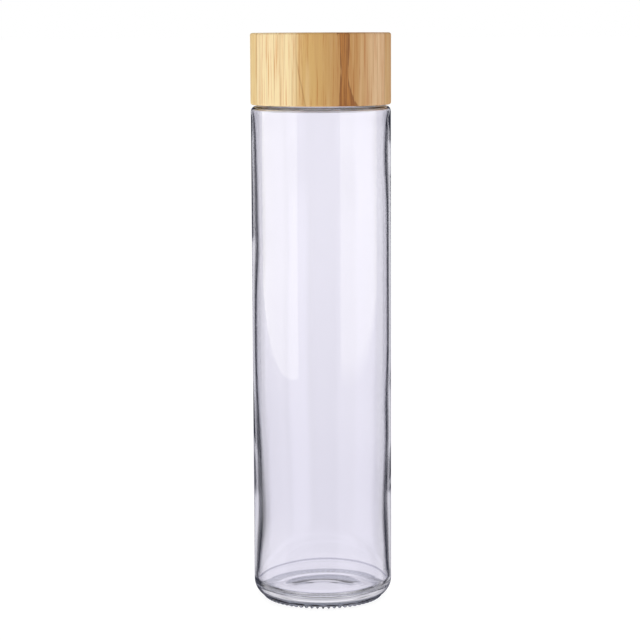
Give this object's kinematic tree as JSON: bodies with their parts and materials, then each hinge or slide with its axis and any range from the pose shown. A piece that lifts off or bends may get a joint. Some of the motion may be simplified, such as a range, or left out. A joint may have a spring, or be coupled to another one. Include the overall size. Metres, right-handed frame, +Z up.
{
  "type": "glass water bottle",
  "caption": "Straight cylindrical clear glass water bottle with a wide bamboo screw cap, white threaded liner and silicone gasket.",
  "frame": {"origin": "centre of the bearing ring the bottle stands on", "axes": "+Z up along the bottle's axis, -Y towards the viewer's side; round about Z apart from the thread"},
  "size_m": [0.065, 0.065, 0.2655],
  "materials": {
    "clear_glass": "clear fire-polished soda-lime glass with a faint cool tint",
    "bamboo": "laminated bamboo, vertical fibres, satin clear lacquer",
    "white_polypropylene": "moulded white polypropylene, fine matt",
    "silicone": "translucent white silicone rubber"
  },
  "bodies": {
    "bottle": {"glass_bottle": "clear_glass"},
    "seal": {"sealing_ring": "silicone"},
    "cap": {"cap_liner": "white_polypropylene", "bamboo_cap": "bamboo"}
  },
  "joints": [
    {"name": "cap_rise", "type": "slide", "parent": "bottle", "child": "seal", "axis": [0, 0, 1], "range_m": [0, 0.017]},
    {"name": "cap_turn", "type": "hinge", "parent": "seal", "child": "cap", "pos_m": [0, 0, 0.249], "axis": [0, 0, 1], "range_deg": [0, 1440]}
  ],
  "couplings": [
    {"joint": "cap_rise", "follows": "cap_turn", "m_per_rad": 0.00067376}
  ]
}
